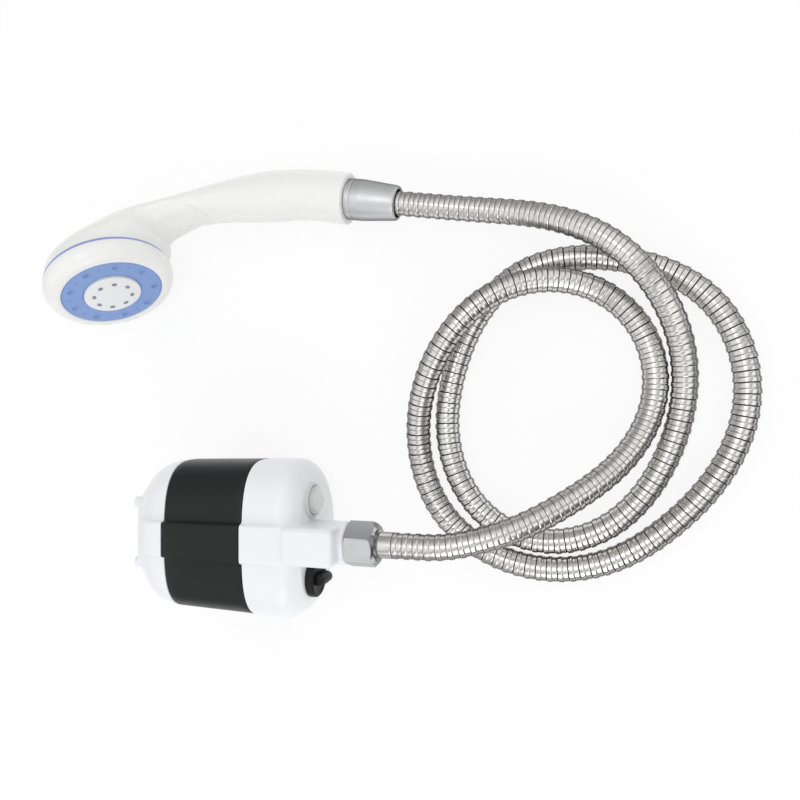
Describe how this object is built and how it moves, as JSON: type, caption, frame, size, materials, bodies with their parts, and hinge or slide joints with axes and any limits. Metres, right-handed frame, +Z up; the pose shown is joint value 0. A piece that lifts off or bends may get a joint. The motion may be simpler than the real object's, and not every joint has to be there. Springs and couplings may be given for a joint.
{
  "type": "camp shower pump",
  "caption": "Rechargeable dip-in pump with a dark-banded rounded housing, press button, plugged charge port, ribbed metal hose and hand-held shower head",
  "frame": {"origin": "on the table, under the middle of the pump's flat back", "axes": "X along the pump from its feet to its outlet, Y across the pump towards the button, Z up out of the table"},
  "size_m": [0.4172, 0.2658, 0.0764],
  "materials": {
    "housing_white": "satin gloss moulded, slightly cool white",
    "band_charcoal": "satin moulded, charcoal",
    "handset_white": "glossy moulded white",
    "button_clear": "milky translucent",
    "plug_rubber": "matt",
    "seal_rubber": "matt",
    "chrome": "polished plating",
    "ferrule_steel": "drawn, smooth",
    "hose_steel": "ribbed strip, satin",
    "spray_blue": "satin soft face",
    "trim_lavender": "satin",
    "plate_white": "satin",
    "inner_plastic": "moulded",
    "cradle_black": "moulded",
    "impeller_blue": "moulded",
    "motor_steel": "drawn",
    "magnet_dark": "sintered",
    "bush_bronze": "sintered",
    "armature_copper": "wound",
    "screw_steel": "plated",
    "cell_wrap": "sleeved in film",
    "board_green": "lacquered"
  },
  "bodies": {
    "pump": {"band_sleeve": "band_charcoal", "top_cap": "housing_white", "base_cap": "housing_white", "top_gasket": "seal_rubber", "base_gasket": "seal_rubber", "bulkhead": "inner_plastic", "volute_casing": "inner_plastic", "case_screws": "screw_steel", "riser_pipe": "inner_plastic", "motor_can": "motor_steel", "motor_magnets": "magnet_dark", "motor_end_cap": "cradle_black", "front_bush": "bush_bronze", "rear_bush": "bush_bronze", "shaft_seal": "seal_rubber", "battery_cradle": "cradle_black", "battery_cells": "cell_wrap", "circuit_board": "board_green", "switch_block": "cradle_black", "charge_socket": "screw_steel", "button_bezel": "housing_white", "outlet_washer": "seal_rubber", "pump_ferrule": "ferrule_steel", "hose": "hose_steel", "handset_ferrule": "ferrule_steel"},
    "rotor": {"motor_shaft": "screw_steel", "armature": "armature_copper", "impeller": "impeller_blue"},
    "power_button": {"power_button": "button_clear"},
    "charge_plug": {"charge_plug": "plug_rubber"},
    "intake_strainer": {"intake_strainer": "housing_white"},
    "hose_nut": {"hose_nut": "chrome"},
    "cone_nut": {"cone_nut": "chrome"},
    "handset": {"handset_body": "handset_white", "trim_ring": "trim_lavender", "face_bezel": "handset_white", "spray_ring": "spray_blue", "centre_plate": "plate_white", "spray_backing": "inner_plastic", "face_seal": "seal_rubber", "face_screw": "screw_steel", "cone_washer": "seal_rubber"}
  },
  "joints": [
    {"name": "power_button_press", "type": "slide", "parent": "pump", "child": "power_button", "axis": [-1, 0, 0], "range_m": [0, 0.001], "stiffness_N_per_m": 300},
    {"name": "charge_plug_pull", "type": "slide", "parent": "pump", "child": "charge_plug", "axis": [1, 0, 0], "range_m": [0, 0.014]},
    {"name": "strainer_pull", "type": "slide", "parent": "pump", "child": "intake_strainer", "axis": [-1, 0, 0], "range_m": [0, 0.012]},
    {"name": "rotor_spin", "type": "hinge", "parent": "pump", "child": "rotor", "pos_m": [0, 0, 0.037], "axis": [1, 0, 0], "continuous": true},
    {"name": "hose_nut_turn", "type": "hinge", "parent": "pump", "child": "hose_nut", "pos_m": [0.086, 0, 0.049], "axis": [1, 0, 0], "continuous": true},
    {"name": "cone_nut_turn", "type": "hinge", "parent": "pump", "child": "cone_nut", "pos_m": [0.065, 0.2, 0.01545], "axis": [0.9877, -0.1564, 0], "continuous": true},
    {"name": "handset_swivel", "type": "hinge", "parent": "pump", "child": "handset", "pos_m": [0.065, 0.2, 0.01545], "axis": [0.9877, -0.1564, 0], "continuous": true}
  ]
}
